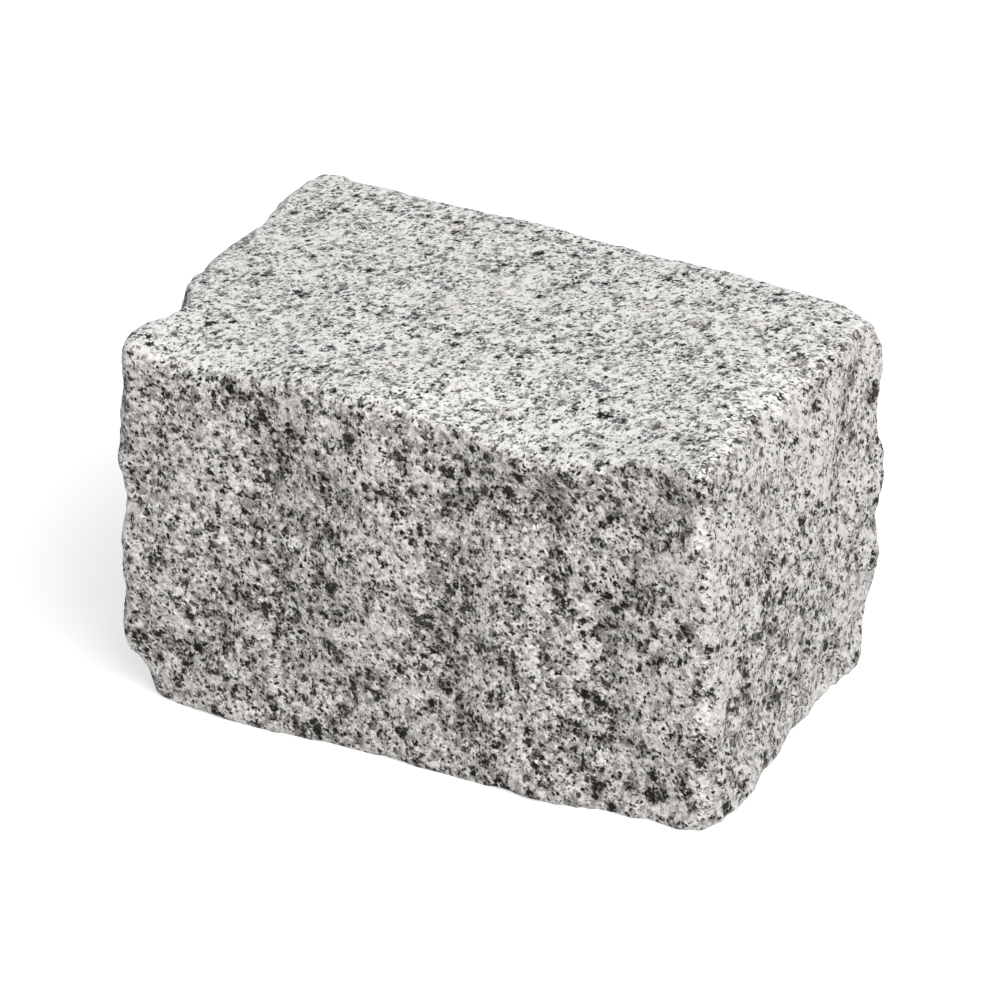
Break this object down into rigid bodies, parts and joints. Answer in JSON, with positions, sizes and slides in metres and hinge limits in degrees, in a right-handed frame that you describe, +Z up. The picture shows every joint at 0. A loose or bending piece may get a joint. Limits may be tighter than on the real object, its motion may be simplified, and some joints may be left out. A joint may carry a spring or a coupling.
{
  "type": "paving sett",
  "caption": "Hewn granite paving sett: a rough, slightly out-of-square block with worn arrises, ridged split sides, a flatter tread and a flat bed.",
  "frame": {"origin": "middle of the bed: the centre of the bounding box's bottom face", "axes": "+X along the sett, +Y across it from the front face to the back face, +Z up to the tread"},
  "size_m": [0.23, 0.1588, 0.1366],
  "materials": {
    "granite": "light grey medium-grained granite, hewn and matt: white feldspar, grey quartz and black mica, with whitish bruised arrises"
  },
  "bodies": {
    "root": {"sett": "granite"}
  },
  "joints": []
}
